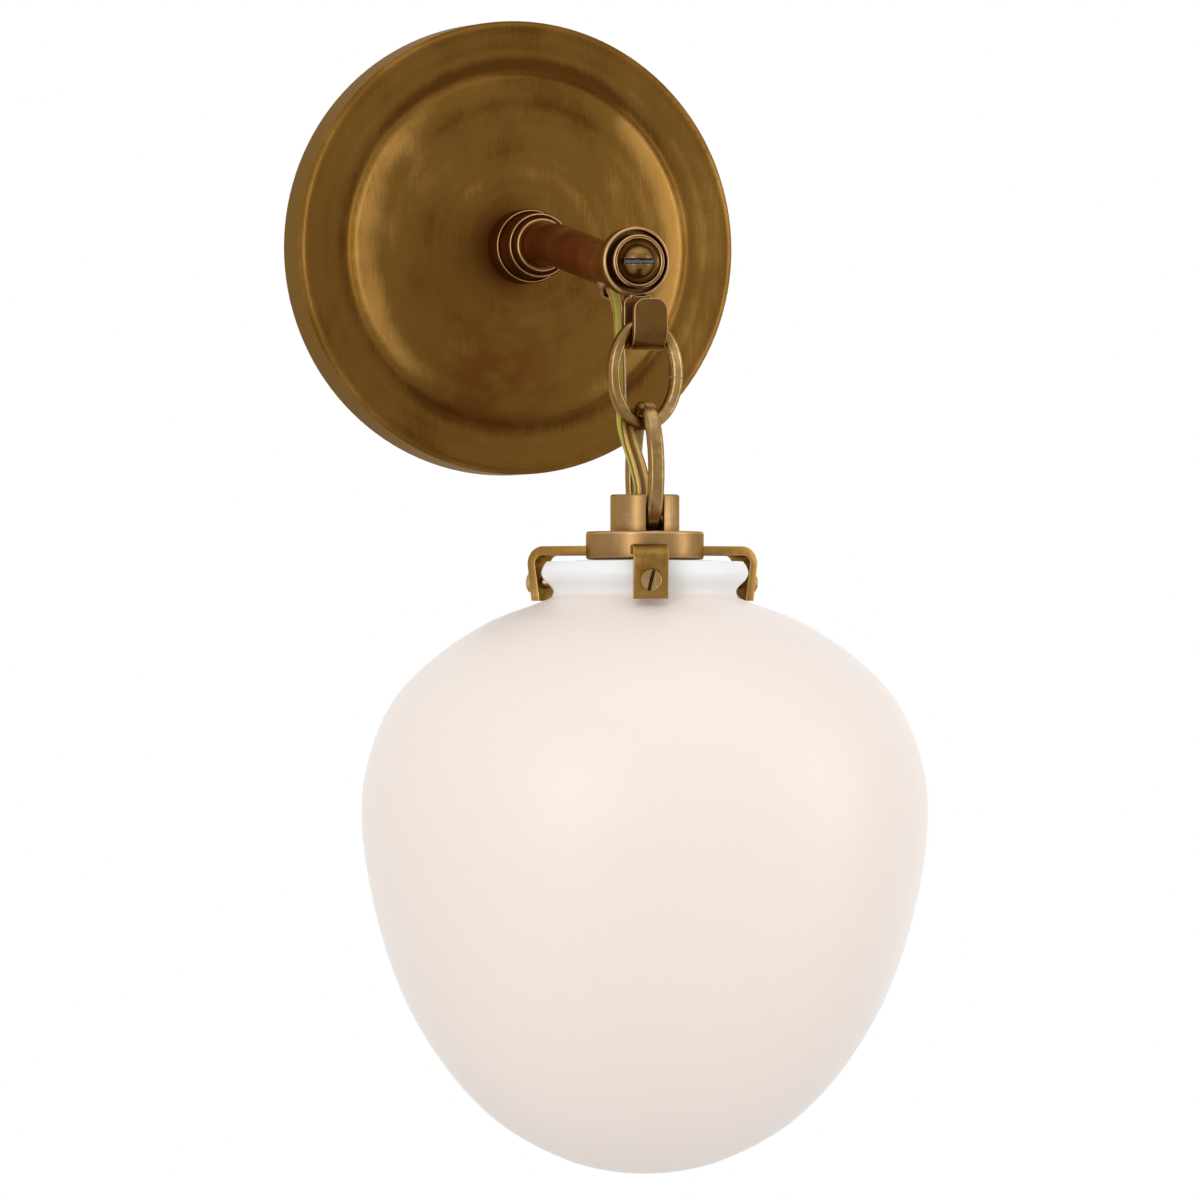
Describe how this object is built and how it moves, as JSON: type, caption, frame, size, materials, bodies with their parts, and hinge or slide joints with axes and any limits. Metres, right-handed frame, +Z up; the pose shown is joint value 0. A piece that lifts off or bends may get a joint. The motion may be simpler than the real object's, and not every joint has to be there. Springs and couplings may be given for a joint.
{
  "type": "hanging pendant wall sconce",
  "caption": "Antique brass wall sconce: round dished plate, short S-bent arm, hook, two chain links and an opal glass acorn shade held by three clamp screws.",
  "frame": {"origin": "centre of the wall plate's back, in the plane of the wall", "axes": "+Y into the wall, +Z up, +X to the right of a person who faces the wall"},
  "size_m": [0.1624, 0.2192, 0.336],
  "materials": {
    "plate_brass": "hand-rubbed antique brass, brushed, clear lacquered",
    "arm_brass": "dark rubbed antique brass",
    "fitter_brass": "lightly rubbed antique brass",
    "screw_steel": "satin",
    "zinc_steel": "zinc plated",
    "opal_glass": "cased opal glass, semi-gloss",
    "porcelain": "glazed porcelain",
    "shell_brass": "bright",
    "cord_jacket": "clear gold-tinted jacket over two copper cores",
    "lead_copper": "insulated copper lead",
    "connector_plastic": "matte",
    "lamp_glass": "frosted"
  },
  "bodies": {
    "wall_mount": {"backplate": "plate_brass", "mounting_bar": "zinc_steel", "plate_set_screws": "screw_steel", "ground_screw": "screw_steel", "ground_lead": "lead_copper", "lock_washer": "zinc_steel", "lock_nut": "zinc_steel", "arm_nipple": "zinc_steel", "arm_collar": "plate_brass", "arm_tube": "arm_brass", "outlet_bushing": "fitter_brass", "arm_cup": "arm_brass", "arm_cap": "fitter_brass", "cap_screw": "screw_steel", "arm_end_plug": "shell_brass", "hook": "arm_brass", "cord_in_arm": "cord_jacket", "supply_leads": "lead_copper", "wire_connectors": "connector_plastic", "cord_upper": "cord_jacket"},
    "link_1": {"upper_link": "arm_brass", "cord_lower": "cord_jacket"},
    "link_2": {"lower_link": "arm_brass"},
    "pendant": {"loop_plug": "fitter_brass", "plug_pin": "fitter_brass", "fitter_cap": "fitter_brass", "claw_front": "fitter_brass", "claw_left": "fitter_brass", "claw_right": "fitter_brass", "shade": "opal_glass", "lampholder": "porcelain", "screw_shell": "shell_brass", "centre_contact": "shell_brass", "terminal_screws": "shell_brass", "holder_screws": "screw_steel", "holder_leads": "lead_copper", "cord_in_fitter": "cord_jacket"},
    "clamp_front": {"clamp_screw_front": "screw_steel"},
    "clamp_left": {"clamp_screw_left": "screw_steel"},
    "clamp_right": {"clamp_screw_right": "screw_steel"},
    "lamp_body": {"lamp": "lamp_glass"}
  },
  "joints": [
    {"name": "link_1_swing", "type": "hinge", "parent": "wall_mount", "child": "link_1", "pos_m": [0, -0.138, -0.02742], "axis": [1, 0, 0], "range_deg": [-30, 14], "deforming": ["cord_upper"]},
    {"name": "link_2_sway", "type": "hinge", "parent": "link_1", "child": "link_2", "pos_m": [0, -0.138, -0.0497], "axis": [0, 1, 0], "range_deg": [-20, 20], "deforming": ["cord_lower"]},
    {"name": "pendant_tilt", "type": "hinge", "parent": "link_2", "child": "pendant", "pos_m": [0, -0.138, -0.0868], "axis": [1, 0, 0], "range_deg": [-5, 5], "deforming": ["cord_lower"]},
    {"name": "clamp_front_slide", "type": "slide", "parent": "pendant", "child": "clamp_front", "axis": [-0.2588, -0.9659, 0], "range_m": [0, 0.004]},
    {"name": "clamp_left_slide", "type": "slide", "parent": "pendant", "child": "clamp_left", "axis": [-0.7071, 0.7071, 0], "range_m": [0, 0.004]},
    {"name": "clamp_right_slide", "type": "slide", "parent": "pendant", "child": "clamp_right", "axis": [0.9659, 0.2588, 0], "range_m": [0, 0.004]},
    {"name": "lamp_unscrew", "type": "slide", "parent": "pendant", "child": "lamp_body", "axis": [0, 0, -1], "range_m": [0, 0.024]}
  ]
}
